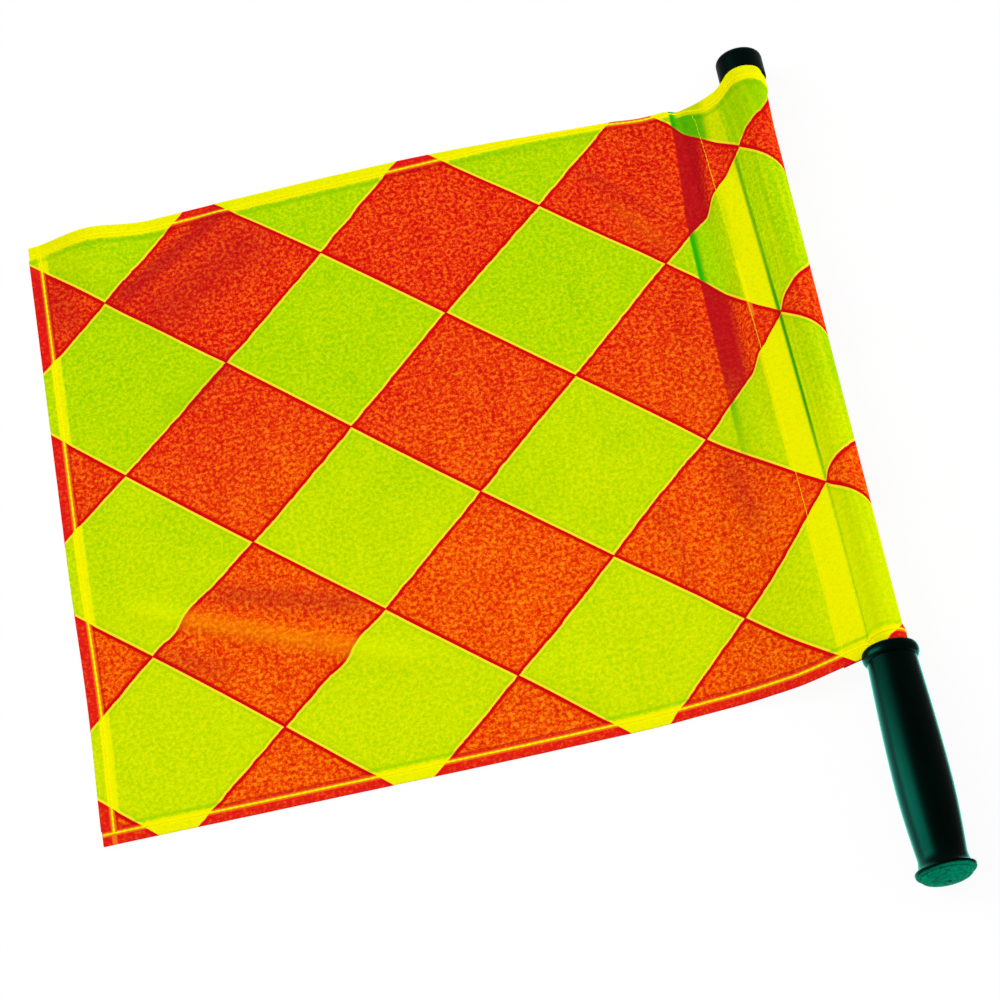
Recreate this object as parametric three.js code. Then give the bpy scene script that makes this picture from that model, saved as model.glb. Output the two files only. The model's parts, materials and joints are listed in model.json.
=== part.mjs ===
import * as THREE from 'three';

// A linesman flag laid on a flat surface: a straight tube with a moulded hand grip and an end cap,
// and a checked cloth whose sewn sleeve turns freely round the tube. Millimetres, Z up, the tube along Y
// with the grip at the low end, the cloth towards -X.

// Driving dimensions: tube
const TUBE_DIAMETER = 16;
const TUBE_WALL = 1.2;

// Driving dimensions: hand grip, places measured along the tube from the end of the grip
const GRIP_LENGTH = 135;
const GRIP_END_WALL = 5.5;
const VENT_DIAMETER = 4;
const DOME_DIAMETER = 28.4;
const DOME_RISE = 3.4;
const GROOVE_DEPTH = 0.7;
const GROOVE_WIDTH = 0.8;
const BUTT_FLANGE_DIAMETER = 33.6;
const BUTT_FLANGE_PLACE = 6.6;
const FLARE_LENGTH = 8;
const LOWER_NECK_DIAMETER = 27;
const PALM_DIAMETER = 31.4;
const PALM_PLACE = 57;
const UPPER_NECK_DIAMETER = 27.6;
const HEAD_FLANGE_DIAMETER = 31.8;
const HEAD_FLANGE_WIDTH = 7.2;
const HEAD_FACE_STEP = 1;

// Driving dimensions: end cap
const CAP_DIAMETER = 28;
const CAP_LENGTH = 17;
const CAP_END_WALL = 4;
const CAP_EDGE_RADIUS = 3.6;
const CAP_LIP = 0.8;
const SOCKET_CHAMFER = 0.8;

// Driving dimensions: cloth
const CLOTH_WIDTH = 444.5;
const CLOTH_HEIGHT = 389.5;
const CLOTH_THICKNESS = 0.5;
const LAYER_GAP = 0.3;
const HEM_WIDTH = 8;
const HEM_SETTLE = 10;
const STITCH_INSET = 6.8;
const THREAD_WIDTH = 0.8;
const THREAD_HEIGHT = 0.4;
const THREAD_GAP = 0.15;

// Driving dimensions: sleeve, shorter than the cloth is high because it is drawn in at both ends, and the
// way the cloth leaves it
const DRAWN_IN_BOTTOM = 10.3;
const DRAWN_IN_TOP = 5.4;
const SLEEVE_SLACK = 1.5;
const STRIPE_WIDTH = 17.5;
const STRIPE_DROP = 1.8;
const STRIPE_DROP_TOP = 5;
const STRIPE_DROP_SHARE = 0.86;
const SEAM_INSET = 2;
const CREASE_GAP_BOTTOM = 0.5;
const CREASE_GAP_SPREAD = 6.4;
const CREASE_DROP_BOTTOM = 0.5;
const CREASE_DROP_SPREAD = 2.5;
const SLOPE_TOE_BOTTOM = 95;
const SLOPE_TOE_SPREAD = 50;
const HOIST_ZONE = 100;

// How far the rows of the cloth are drawn in along the tube near the sleeve
const BOTTOM_EASE = 2.6;
const BOTTOM_EASE_START = 230;
const BOTTOM_RISE_START = 70;
const BOTTOM_RISE_END = 5;
const TOP_BOW = 2.8;
const TOP_DIP = 5.2;
const TOP_DIP_START = 220;
const TOP_DIP_END = 45;

// Soft folds lying in the cloth: places and reach as shares of the cloth's width and height
const CORNER_FOLD_HEIGHT = 9;
const UPPER_FOLD_HEIGHT = 3.2;
const MIDDLE_FOLD_HEIGHT = 2.6;
const LOWER_FOLD_HEIGHT = 2.2;
const FOLDS = [
  { height: CORNER_FOLD_HEIGHT, placeShares: [0.08, 1.0], reachShares: [0.08, 0.17], turn: 0 },
  { height: UPPER_FOLD_HEIGHT, placeShares: [0.25, 0.86], reachShares: [0.09, 0.05], turn: Math.PI / 4 },
  { height: MIDDLE_FOLD_HEIGHT, placeShares: [0.24, 0.4], reachShares: [0.16, 0.05], turn: Math.PI / 12 },
  { height: LOWER_FOLD_HEIGHT, placeShares: [0.6, 0.1], reachShares: [0.12, 0.07], turn: -Math.PI / 9 },
];

// Running clearances
const FIT_GAP = 0.3;
const SLEEVE_END_GAP = 0.8;

// Facet counts
const ROUND_SEGMENTS = 48;
const EDGE_STEPS = 6;
const BODY_STEPS = 12;
const LOOP_STEPS = 18;
const FIELD_COLUMNS = 14;
const HOIST_COLUMNS = 8;
const CLOTH_ROWS = 15;

const tubeRadius = TUBE_DIAMETER / 2;
const boreRadius = tubeRadius + FIT_GAP;
const buttRadius = BUTT_FLANGE_DIAMETER / 2;
const capRadius = CAP_DIAMETER / 2;
const sleeveStart = GRIP_LENGTH + SLEEVE_END_GAP;
const sleeveLength = CLOTH_HEIGHT - DRAWN_IN_BOTTOM - DRAWN_IN_TOP;
const sleeveEnd = sleeveStart + sleeveLength;
const clothBottom = sleeveStart - DRAWN_IN_BOTTOM;
const clothTop = sleeveEnd + DRAWN_IN_TOP;
const capStart = sleeveEnd + SLEEVE_END_GAP;
const capEnd = capStart + CAP_LENGTH;
const capShoulder = capEnd - CAP_EDGE_RADIUS;

// The flag rests on the wide flange of the grip and on the smaller cap, so the tube slopes down a little.
const poleTilt = Math.asin((buttRadius - capRadius) / (capShoulder - BUTT_FLANGE_PLACE));
const poleHeight = buttRadius * Math.cos(poleTilt) + BUTT_FLANGE_PLACE * Math.sin(poleTilt);
const axisHeight = (along) => poleHeight - along * Math.tan(poleTilt);

const pitch = CLOTH_THICKNESS + LAYER_GAP;
const hemReach = HEM_WIDTH + LAYER_GAP;
const hemShare = HEM_WIDTH / hemReach;
const seamStrip = SEAM_INSET + THREAD_WIDTH;
const smooth = (t) => THREE.MathUtils.smoothstep(t, 0, 1);
const mix = THREE.MathUtils.lerp;

function arc(centreRadius, centrePlace, radiusOut, radiusAlong, from, to, steps) {
  return Array.from({ length: steps + 1 }, (_, i) => {
    const angle = mix(from, to, i / steps);
    return [centreRadius + radiusOut * Math.cos(angle), centrePlace + radiusAlong * Math.sin(angle)];
  });
}

function revolve(profile) {
  return new THREE.LatheGeometry(profile.map(([r, y]) => new THREE.Vector2(r, y)), ROUND_SEGMENTS);
}

function tubeGeometry() {
  const start = GRIP_END_WALL + FIT_GAP;
  const end = capEnd - CAP_END_WALL - FIT_GAP;
  const inner = tubeRadius - TUBE_WALL;
  return revolve([[inner, start], [tubeRadius, start], [tubeRadius, end], [inner, end], [inner, start]]);
}

// The grip's outline swells under the palm and draws in to a neck before each flange.
function gripBodyRadius(along) {
  const lowEnd = BUTT_FLANGE_PLACE + FLARE_LENGTH;
  const highEnd = GRIP_LENGTH - HEAD_FLANGE_WIDTH;
  const below = along < PALM_PLACE;
  const neck = (below ? LOWER_NECK_DIAMETER : UPPER_NECK_DIAMETER) / 2;
  const t = below ? (along - lowEnd) / (PALM_PLACE - lowEnd) : (highEnd - along) / (highEnd - PALM_PLACE);
  return mix(neck, PALM_DIAMETER / 2, Math.sin((t * Math.PI) / 2));
}

function gripGeometry() {
  const vent = VENT_DIAMETER / 2;
  const dome = DOME_DIAMETER / 2;
  const lowEnd = BUTT_FLANGE_PLACE + FLARE_LENGTH;
  const highEnd = GRIP_LENGTH - HEAD_FLANGE_WIDTH;
  const headRadius = HEAD_FLANGE_DIAMETER / 2;
  const beadHalf = HEAD_FLANGE_WIDTH / 2;
  const beadOut = headRadius - UPPER_NECK_DIAMETER / 2;
  const flareOut = buttRadius - LOWER_NECK_DIAMETER / 2;
  const lipPlace = DOME_RISE + GROOVE_WIDTH;
  const bodySteps = Array.from({ length: BODY_STEPS + 1 }, (_, i) => mix(lowEnd, highEnd, i / BODY_STEPS));
  const profile = [
    ...arc(0, DOME_RISE, dome, DOME_RISE, -Math.PI / 2 + Math.asin(vent / dome), 0, EDGE_STEPS),
    [dome - GROOVE_DEPTH, lipPlace - GROOVE_WIDTH / 2],
    [dome + GROOVE_DEPTH, lipPlace],
    ...arc(dome + GROOVE_DEPTH, BUTT_FLANGE_PLACE, buttRadius - dome - GROOVE_DEPTH,
      BUTT_FLANGE_PLACE - lipPlace, -Math.PI / 3, 0, EDGE_STEPS / 2),
    ...arc(buttRadius, lowEnd, -flareOut, -FLARE_LENGTH, Math.PI / 2, 0, EDGE_STEPS).slice(1, -1),
    ...bodySteps.map((place) => [gripBodyRadius(place), place]),
    ...arc(headRadius - beadOut, highEnd + beadHalf, beadOut, beadHalf, -Math.PI / 2, Math.PI / 2, EDGE_STEPS)
      .slice(1),
    [headRadius - beadOut - HEAD_FACE_STEP, GRIP_LENGTH],
    [boreRadius, GRIP_LENGTH],
    [boreRadius, GRIP_END_WALL],
    [vent, GRIP_END_WALL],
  ];
  return revolve([...profile, profile[0]]);
}

function capGeometry() {
  const socketEnd = capEnd - CAP_END_WALL;
  const edge = arc(capRadius - CAP_EDGE_RADIUS, capShoulder, CAP_EDGE_RADIUS, CAP_EDGE_RADIUS, 0, Math.PI / 2,
    EDGE_STEPS);
  return revolve([
    [0, socketEnd],
    [boreRadius, socketEnd],
    [boreRadius, capStart + SOCKET_CHAMFER],
    [boreRadius + SOCKET_CHAMFER, capStart],
    [capRadius - CAP_LIP, capStart],
    [capRadius, capStart + CAP_LIP],
    ...edge,
    [0, capEnd],
  ]);
}

// A closed solid from a grid of places with normals: grid[row][column] = { at, normal }.
function sheetSolid(grid, thickness) {
  const rows = grid.length;
  const columns = grid[0].length;
  const positions = [];
  for (const side of [1, -1]) {
    for (const row of grid) {
      for (const { at, normal } of row) {
        const place = at.clone().addScaledVector(normal, (side * thickness) / 2);
        positions.push(place.x, place.y, place.z);
      }
    }
  }
  const layer = rows * columns;
  const index = (r, c) => r * columns + c;
  const triangles = [];
  const quad = (a, b, c, d) => triangles.push(a, b, c, a, c, d);
  for (let r = 0; r < rows - 1; r += 1) {
    for (let c = 0; c < columns - 1; c += 1) {
      const [a, b, d, e] = [index(r, c), index(r, c + 1), index(r + 1, c + 1), index(r + 1, c)];
      quad(a, b, d, e);
      quad(a + layer, e + layer, d + layer, b + layer);
    }
  }
  const rim = [];
  for (let c = 0; c < columns - 1; c += 1) rim.push(index(0, c));
  for (let r = 0; r < rows - 1; r += 1) rim.push(index(r, columns - 1));
  for (let c = columns - 1; c > 0; c -= 1) rim.push(index(rows - 1, c));
  for (let r = rows - 1; r > 0; r -= 1) rim.push(index(r, 0));
  rim.forEach((from, i) => {
    const to = rim[(i + 1) % rim.length];
    quad(from, from + layer, to + layer, to);
  });
  const geometry = new THREE.BufferGeometry();
  geometry.setAttribute('position', new THREE.Float32BufferAttribute(positions, 3));
  geometry.setIndex(triangles);
  return geometry;
}

// Rows of the cloth: both hems have a row at the edge and one just past the folded strip.
const rampAt = (x, start, end) => smooth((x + start) / (start - end));

function bottomEdge(x) {
  const eased = clothBottom + BOTTOM_EASE * rampAt(x, BOTTOM_EASE_START, BOTTOM_RISE_START);
  return mix(eased, sleeveStart, rampAt(x, BOTTOM_RISE_START, BOTTOM_RISE_END));
}

function topEdge(x) {
  const bow = TOP_BOW * Math.sin((Math.PI * x) / CLOTH_WIDTH) ** 2;
  const dipped = clothTop + bow - TOP_DIP * rampAt(x, TOP_DIP_START, TOP_DIP_END);
  return mix(dipped, sleeveEnd, rampAt(x, STRIPE_WIDTH + capRadius, capRadius));
}

function rowPlaces(x) {
  const low = bottomEdge(x);
  const high = topEdge(x);
  const settled = hemReach + HEM_SETTLE;
  const inner = Array.from({ length: CLOTH_ROWS },
    (_, i) => mix(low + settled, high - settled, i / (CLOTH_ROWS - 1)));
  return [low, low + hemReach, ...inner, high - hemReach, high];
}

const rowCount = CLOTH_ROWS + 4;
const isHemRow = (row) => row < 2 || row > rowCount - 3;
const alongShare = (y) => THREE.MathUtils.clamp((y - sleeveStart) / sleeveLength, 0, 1);

// Sleeve cross-section at one place along the tube: an open loop that runs from the sewn edge of the
// upper layer, over the tube and round it, back to the sewn edge of the under layer.
function sleeveSection(y, hemmed) {
  const share = alongShare(y);
  const height = axisHeight(y);
  const slack = SLEEVE_SLACK * smooth(share);
  const hug = boreRadius + CLOTH_THICKNESS / 2 + (hemmed ? pitch : 0);
  const radius = hug + slack;
  const hang = Math.PI / 5;
  const centre = new THREE.Vector2(-slack * Math.sin(hang), height - slack * Math.cos(hang));
  const creaseX = centre.x - radius - CREASE_GAP_BOTTOM - CREASE_GAP_SPREAD * share ** 2;
  const creaseZ = height - CREASE_DROP_BOTTOM - CREASE_DROP_SPREAD * share;
  const layersBetween = hemmed ? 3 : 1;
  const apart = pitch * layersBetween;
  const crease = [new THREE.Vector2(creaseX, creaseZ), new THREE.Vector2(creaseX, creaseZ - apart)];
  const topDrop = STRIPE_DROP_TOP * smooth((share - STRIPE_DROP_SHARE) / (1 - STRIPE_DROP_SHARE));
  const drop = STRIPE_DROP + topDrop;
  const seam = crease.map((point) => new THREE.Vector2(point.x - STRIPE_WIDTH, point.y - drop));
  const touch = crease.map((point, i) => {
    const offset = point.clone().sub(centre);
    const lean = Math.acos(Math.min(1, radius / offset.length()));
    const angle = Math.atan2(offset.y, offset.x) + (i === 0 ? -lean : lean);
    return THREE.MathUtils.euclideanModulo(angle, 2 * Math.PI);
  });
  const loop = Array.from({ length: LOOP_STEPS + 1 }, (_, i) => {
    const angle = mix(touch[0], touch[1] - 2 * Math.PI, i / LOOP_STEPS);
    return new THREE.Vector2(centre.x + radius * Math.cos(angle), centre.y + radius * Math.sin(angle));
  });
  const stitched = crease.map((point, i) => point.clone().lerp(seam[i], 1 - seamStrip / STRIPE_WIDTH));
  return [seam[0], stitched[0], crease[0], ...loop, crease[1], stitched[1], seam[1]];
}

// Normals of an open cross-section, square to the mean of the two segments that meet at each point.
function sectionNormals(points) {
  return points.map((point, i) => {
    const before = points[Math.max(i - 1, 0)];
    const after = points[Math.min(i + 1, points.length - 1)];
    const incoming = point.clone().sub(before).normalize();
    const outgoing = after.clone().sub(point).normalize();
    const tangent = incoming.add(outgoing).normalize();
    return new THREE.Vector3(-tangent.y, 0, tangent.x);
  });
}

function sleeveRow(row, inset) {
  const axisRows = rowPlaces(0);
  const points = sleeveSection(axisRows[row], isHemRow(row));
  const normals = sectionNormals(points);
  return points.map((point, i) => {
    const at = new THREE.Vector3(point.x, rowPlaces(point.x)[row], point.y);
    return { at: at.addScaledVector(normals[i], -inset), normal: normals[i] };
  });
}

const sleeveGrid = Array.from({ length: rowCount }, (_, row) => sleeveRow(row, 0));

function foldHeight(x, y) {
  const reach = [CLOTH_WIDTH, CLOTH_HEIGHT];
  const across = [x + CLOTH_WIDTH, y - clothBottom];
  return FOLDS.reduce((sum, fold) => {
    const [du, dv] = across.map((place, i) => place - fold.placeShares[i] * reach[i]);
    const u = (du * Math.cos(fold.turn) + dv * Math.sin(fold.turn)) / (fold.reachShares[0] * reach[0]);
    const v = (dv * Math.cos(fold.turn) - du * Math.sin(fold.turn)) / (fold.reachShares[1] * reach[1]);
    return sum + fold.height * smooth(1 - Math.hypot(u, v));
  }, 0);
}

// Height of the cloth between the table and the sewn edge of the sleeve.
function panelHeight(x, y, row, column, seam) {
  const folded = isHemRow(row) || column < 2;
  const flat = CLOTH_THICKNESS / 2 + (folded ? pitch : 0);
  const toe = -(SLOPE_TOE_BOTTOM - SLOPE_TOE_SPREAD * alongShare(y));
  const climb = smooth((x - toe) / (seam.x - toe));
  return Math.max(flat + foldHeight(x, y) * (1 - climb), mix(flat, seam.z, climb));
}

function panelGrid() {
  const hemEdge = -CLOTH_WIDTH + hemReach;
  const settled = hemEdge + HEM_SETTLE;
  const field = Array.from({ length: FIELD_COLUMNS }, (_, i) => mix(settled, -HOIST_ZONE, i / FIELD_COLUMNS));
  return sleeveGrid.map((sleeve, row) => {
    const seam = sleeve[0].at;
    const hoist = Array.from({ length: HOIST_COLUMNS + 1 },
      (_, i) => mix(-HOIST_ZONE, seam.x - LAYER_GAP, i / HOIST_COLUMNS));
    return [-CLOTH_WIDTH, hemEdge, ...field, ...hoist].map((x, column) => {
      const y = rowPlaces(x)[row];
      const at = new THREE.Vector3(x, y, panelHeight(x, y, row, column, seam));
      return { at, normal: new THREE.Vector3(0, 0, 1) };
    });
  });
}

const panel = panelGrid();

const between = (first, second, share, lift) => {
  const normal = first.normal.clone().lerp(second.normal, share).normalize();
  return { at: first.at.clone().lerp(second.at, share).addScaledVector(normal, lift), normal };
};

// Folded strips under the cloth's edges, one layer below it.
function hemAlongRow(edge, next) {
  const strip = [edge, edge.map((place, i) => between(place, next[i], hemShare, 0))];
  const lowered = strip.map((row) => row.map(({ at, normal }) => (
    { at: at.clone().addScaledVector(normal, -pitch), normal })));
  return edge[0].at.y < next[0].at.y ? lowered : lowered.reverse();
}

function flyHem() {
  return panel.slice(1, -1).map((row) => [
    between(row[0], row[0], 0, -pitch),
    between(row[0], row[1], hemShare, -pitch),
  ]);
}

// A row of thread is a narrow raised line between two neighbouring lines of the cloth's places. It follows
// the cloth's facets, which are split from each place on the first line to the next on the second.
const threadLift = (CLOTH_THICKNESS + THREAD_HEIGHT) / 2 + THREAD_GAP;

function threadBetween(first, second, share, reach) {
  const edge = (offset) => first.flatMap((place, i) => {
    const onLine = between(place, second[i], share + offset, threadLift);
    return second[i + 1] ? [onLine, between(place, second[i + 1], share + offset, threadLift)] : [onLine];
  });
  const half = THREAD_WIDTH / 2 / reach;
  return [edge(-half), edge(half)];
}

const clothRow = (row) => [...panel[row], ...sleeveGrid[row]];
const clothColumn = (grid, column) => grid.slice(1, -1).map((row) => row[column]);

const bottomStitching = () => threadBetween(clothRow(0), clothRow(1), STITCH_INSET / hemReach, hemReach);

const topStitching = () => threadBetween(
  clothRow(rowCount - 2), clothRow(rowCount - 1), 1 - STITCH_INSET / hemReach, hemReach);

const flyStitching = () => threadBetween(
  clothColumn(panel, 0), clothColumn(panel, 1), STITCH_INSET / hemReach, hemReach).reverse();

const sleeveStitching = () => threadBetween(
  clothColumn(sleeveGrid, 0), clothColumn(sleeveGrid, 1), SEAM_INSET / seamStrip, seamStrip).reverse();

const sleeveHem = (rows) => sheetSolid(
  rows.map((row) => sleeveRow(row, pitch).slice(1, -1)), CLOTH_THICKNESS);

const cloth = (color) => new THREE.MeshStandardMaterial({ color, roughness: 0.85, metalness: 0 });
const rubber = (color) => new THREE.MeshStandardMaterial({ color, roughness: 0.42, metalness: 0 });
const materials = {
  tube: new THREE.MeshStandardMaterial({ color: 0xb9bcc0, roughness: 0.35, metalness: 1 }),
  grip: rubber(0x0a1f1a),
  cap: rubber(0x0b1715),
  field: cloth(0xc4dc12),
  sleeve: cloth(0xbfd80f),
  hem: cloth(0xf0ea08),
  thread: cloth(0xf2c21a),
};

function part(name, geometry, material) {
  const mesh = new THREE.Mesh(geometry, material);
  mesh.name = name;
  return mesh;
}

const last = rowCount - 1;
const pole = new THREE.Group();
pole.position.z = poleHeight;
pole.rotation.x = -poleTilt;
pole.add(
  part('pole_tube', tubeGeometry(), materials.tube),
  part('hand_grip', gripGeometry(), materials.grip),
  part('end_cap', capGeometry(), materials.cap),
);

const flag = new THREE.Group();
flag.add(
  pole,
  part('flag_panel', sheetSolid(panel, CLOTH_THICKNESS), materials.field),
  part('pole_sleeve', sheetSolid(sleeveGrid, CLOTH_THICKNESS), materials.sleeve),
  part('top_hem', sheetSolid(hemAlongRow(panel[last], panel[last - 1]), CLOTH_THICKNESS), materials.hem),
  part('bottom_hem', sheetSolid(hemAlongRow(panel[0], panel[1]), CLOTH_THICKNESS), materials.hem),
  part('fly_hem', sheetSolid(flyHem(), CLOTH_THICKNESS), materials.hem),
  part('sleeve_top_hem', sleeveHem([last - 1, last]), materials.hem),
  part('sleeve_bottom_hem', sleeveHem([0, 1]), materials.hem),
  part('top_stitching', sheetSolid(topStitching(), THREAD_HEIGHT), materials.thread),
  part('bottom_stitching', sheetSolid(bottomStitching(), THREAD_HEIGHT), materials.thread),
  part('fly_stitching', sheetSolid(flyStitching(), THREAD_HEIGHT), materials.thread),
  part('sleeve_stitching', sheetSolid(sleeveStitching(), THREAD_HEIGHT), materials.thread),
);

// The origin lies on the table under the middle of the whole flag.
const box = new THREE.Box3().setFromObject(flag, true);
flag.position.set(-(box.min.x + box.max.x) / 2, -(box.min.y + box.max.y) / 2, -box.min.z);

const model = new THREE.Group();
model.add(flag);

export default model;
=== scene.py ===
import json
import math
import random
import bmesh
import bpy
import numpy as np
from mathutils import Matrix, Vector


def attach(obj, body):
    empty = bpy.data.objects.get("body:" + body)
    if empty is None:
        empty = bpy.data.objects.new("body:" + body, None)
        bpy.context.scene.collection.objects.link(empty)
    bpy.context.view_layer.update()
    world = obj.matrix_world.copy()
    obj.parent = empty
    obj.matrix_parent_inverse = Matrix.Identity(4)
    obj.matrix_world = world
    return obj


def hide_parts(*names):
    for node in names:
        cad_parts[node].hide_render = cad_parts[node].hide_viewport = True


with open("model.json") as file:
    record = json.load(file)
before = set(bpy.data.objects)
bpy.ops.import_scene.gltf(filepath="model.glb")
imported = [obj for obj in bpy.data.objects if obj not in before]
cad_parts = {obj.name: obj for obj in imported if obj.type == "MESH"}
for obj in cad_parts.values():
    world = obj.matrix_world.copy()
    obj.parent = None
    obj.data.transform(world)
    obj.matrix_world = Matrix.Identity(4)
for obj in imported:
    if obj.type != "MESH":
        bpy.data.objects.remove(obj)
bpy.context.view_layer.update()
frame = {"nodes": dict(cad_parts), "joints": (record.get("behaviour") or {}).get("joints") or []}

# A linesman flag lying on a pale floor: checked cloth sewn into a sleeve, tube, hand grip and end cap.
# Lengths are in millimetres in the pole's own frame (x across, y along the tube from the grip's end, z up)
# until placed() turns them into metres in the frame of the CAD model.
mm = 0.001
swivel = next(joint for joint in frame["joints"] if joint["name"] == "cloth_swivel")
poleStart = np.array(swivel["pos_m"])
poleAxis = np.array(swivel["axis"])
print("frame loaded:", len(frame["nodes"]), "CAD nodes")


def smooth(t):
    t = np.clip(t, 0, 1)
    return t * t * (3 - 2 * t)


def mix(a, b, t):
    return a + (b - a) * t


def placed(points):
    moved = np.asarray(points, float) * mm
    moved[..., 0] += poleStart[0]
    moved[..., 1] += poleStart[1]
    return moved


def axisHeight(along):
    return poleStart[2] / mm + along * poleAxis[2] / poleAxis[1]


def newPiece(name, data):
    piece = bpy.data.objects.new(name, data)
    bpy.context.scene.collection.objects.link(piece)
    return piece


def linear(rgb):
    # sRGB 0-255 to the linear colour that shaders use
    parts = [c / 255 for c in rgb]
    return tuple(c / 12.92 if c <= 0.04045 else ((c + 0.055) / 1.055) ** 2.4 for c in parts) + (1.0,)


cameraView = {
    "azimuth": 5.9,
    "elevation": 64.0,
    "roll": -17.8,
    "distance": 1.714,
    "lens": 108.0,
    "sensor": 36.0,
    "farthest": 200.0,
    "target": (0.02155, 0.01716, 0.0),
}


def aimCamera(view):
    azimuth, elevation, roll = (math.radians(view[key]) for key in ("azimuth", "elevation", "roll"))
    back = Vector((
        math.sin(azimuth) * math.cos(elevation),
        -math.cos(azimuth) * math.cos(elevation),
        math.sin(elevation),
    ))
    level = Vector((math.cos(azimuth), math.sin(azimuth), 0))
    upright = back.cross(level)
    right = level * math.cos(roll) + upright * math.sin(roll)
    up = upright * math.cos(roll) - level * math.sin(roll)
    lens = bpy.data.cameras.new("photoCamera")
    lens.lens = view["lens"]
    lens.sensor_width = view["sensor"]
    lens.clip_end = view["farthest"]
    holder = newPiece("photoCamera", lens)
    turn = Matrix((right, up, back)).transposed().to_4x4()
    holder.matrix_world = Matrix.Translation(Vector(view["target"]) + back * view["distance"]) @ turn
    bpy.context.scene.camera = holder


aimCamera(cameraView)
bpy.context.scene.view_settings.view_transform = "Standard"
print("camera placed")


class Wire:
    # a node socket that takes part in sums

    def __init__(self, finish, socket):
        self.finish = finish
        self.socket = socket

    def __add__(self, other):
        return self.finish.sum("ADD", self, other)

    def __radd__(self, other):
        return self.finish.sum("ADD", other, self)

    def __sub__(self, other):
        return self.finish.sum("SUBTRACT", self, other)

    def __rsub__(self, other):
        return self.finish.sum("SUBTRACT", other, self)

    def __mul__(self, other):
        return self.finish.sum("MULTIPLY", self, other)

    def __rmul__(self, other):
        return self.finish.sum("MULTIPLY", other, self)

    def __truediv__(self, other):
        return self.finish.sum("DIVIDE", self, other)


class Finish:
    # the nodes of one material, or of the world, with short ways to make them

    def __init__(self, owner, shader, constants=None):
        self.owner = owner
        self.owner.use_nodes = True
        self.nodes = owner.node_tree.nodes
        self.links = owner.node_tree.links
        self.shader = self.nodes[shader]
        self.show(constants or {})

    def node(self, kind, settings, sockets, out=0):
        made = self.nodes.new("ShaderNode" + kind)
        for name, value in settings.items():
            setattr(made, name, value)
        for name, value in sockets.items():
            self.feed(made.inputs[name], value)
        return Wire(self, made.outputs[out])

    def feed(self, socket, value):
        if isinstance(value, Wire):
            self.links.new(value.socket, socket)
        else:
            socket.default_value = value

    def show(self, inputs):
        for name, value in inputs.items():
            self.feed(self.shader.inputs[name], value)
        return self.owner

    def sum(self, operation, first, second=0.0):
        return self.node("Math", {"operation": operation}, {0: first, 1: second})

    def least(self, first, second):
        return self.sum("MINIMUM", first, second)

    def most(self, first, second):
        return self.sum("MAXIMUM", first, second)

    def size(self, value):
        return self.sum("ABSOLUTE", value)

    def step(self, value, low, high):
        # 0 below low, 1 above high, smooth between them; low above high turns it round
        return self.node("MapRange", {"interpolation_type": "SMOOTHSTEP"},
                         {"Value": value, "From Min": low, "From Max": high})

    def blend(self, first, second, share):
        return self.node("Mix", {"data_type": "RGBA"}, {0: share, 6: first, 7: second}, out=2)

    def noise(self, place, scale, detail=2.0, roughness=0.5, distortion=0.0):
        return self.node("TexNoise", {}, {"Vector": place, "Scale": scale, "Detail": detail,
                                          "Roughness": roughness, "Distortion": distortion})

    def place(self):
        return self.node("TexCoord", {}, {}, out="Object")

    def part(self, vector, axis):
        return self.node("SeparateXYZ", {}, {0: vector}, out=axis)

    def map(self, name, parts=2):
        # one of the piece's own UV maps as a vector, and its first coordinates
        pair = self.node("UVMap", {"uv_map": name}, {})
        return pair, *(self.part(pair, axis) for axis in range(parts))

    def stretched(self, place, scale):
        return self.node("VectorMath", {"operation": "MULTIPLY"}, {0: place, 1: scale})

    def bump(self, height, distance, strength=1.0):
        return self.node("Bump", {}, {"Height": height, "Distance": distance, "Strength": strength})


def newFinish(name, constants):
    return Finish(bpy.data.materials.new(name), "Principled BSDF", constants)


studio = {
    "worldLight": 0.55,        # grey that lights the object
    "floorHalf": 30.0,
    "floorHeight": -0.0002,
    "floorShade": (0.97, 0.97, 0.97, 1),
    "floorGlow": 0.93,         # share of plain white that the camera sees on the floor
    "keyFrom": (-0.67, 0.325, 0.67),
    "keyPower": 1.25,
    "keySoftness": 0.55,
    "fillFrom": (0.93, 0.05, 0.36),
    "fillPower": 1.6,
    "gleamPlace": (-0.3, -0.085, 0.26),
    "gleamTarget": (0.2, -0.25, 0.02),
    "gleamSize": (0.24, 0.54),
    "gleamPower": 30.0,
    "gleamColour": (0.1, 1.0, 0.8),
    "cardPlace": (0.138, -0.19, 0.0004),
    "cardSize": (0.215, 0.16),
    "cardPower": 0.75,
}


def lamp(name, kind, place, target, settings):
    light = bpy.data.lights.new(name, kind)
    for key, value in settings.items():
        setattr(light, key, value)
    holder = newPiece(name, light)
    holder.location = place
    holder.rotation_euler = (Vector(target) - Vector(place)).to_track_quat("-Z", "Y").to_euler()
    return holder


def gleamLamp(name, place, target, size, power):
    # a tinted panel that only glossy reflections see
    holder = lamp(name, "AREA", place, target, {
        "shape": "RECTANGLE", "size": size[0], "size_y": size[1],
        "energy": power, "color": studio["gleamColour"]})
    holder.visible_diffuse = False
    holder.visible_camera = False


def seenWhite(finish):
    # 1 for rays from the camera, and for those that metal or glass sends on
    total = finish.node("LightPath", {}, {}, out="Is Camera Ray")
    for ray in ("Is Glossy Ray", "Is Transmission Ray"):
        total = finish.most(total, finish.node("LightPath", {}, {}, out=ray))
    return total


def makeWorld():
    world = bpy.data.worlds.new("studioWorld")
    bpy.context.scene.world = world
    finish = Finish(world, "Background", {"Color": (1, 1, 1, 1)})
    strength = finish.node("MapRange", {}, {"Value": seenWhite(finish), "To Min": studio["worldLight"]})
    finish.show({"Strength": strength})


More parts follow.
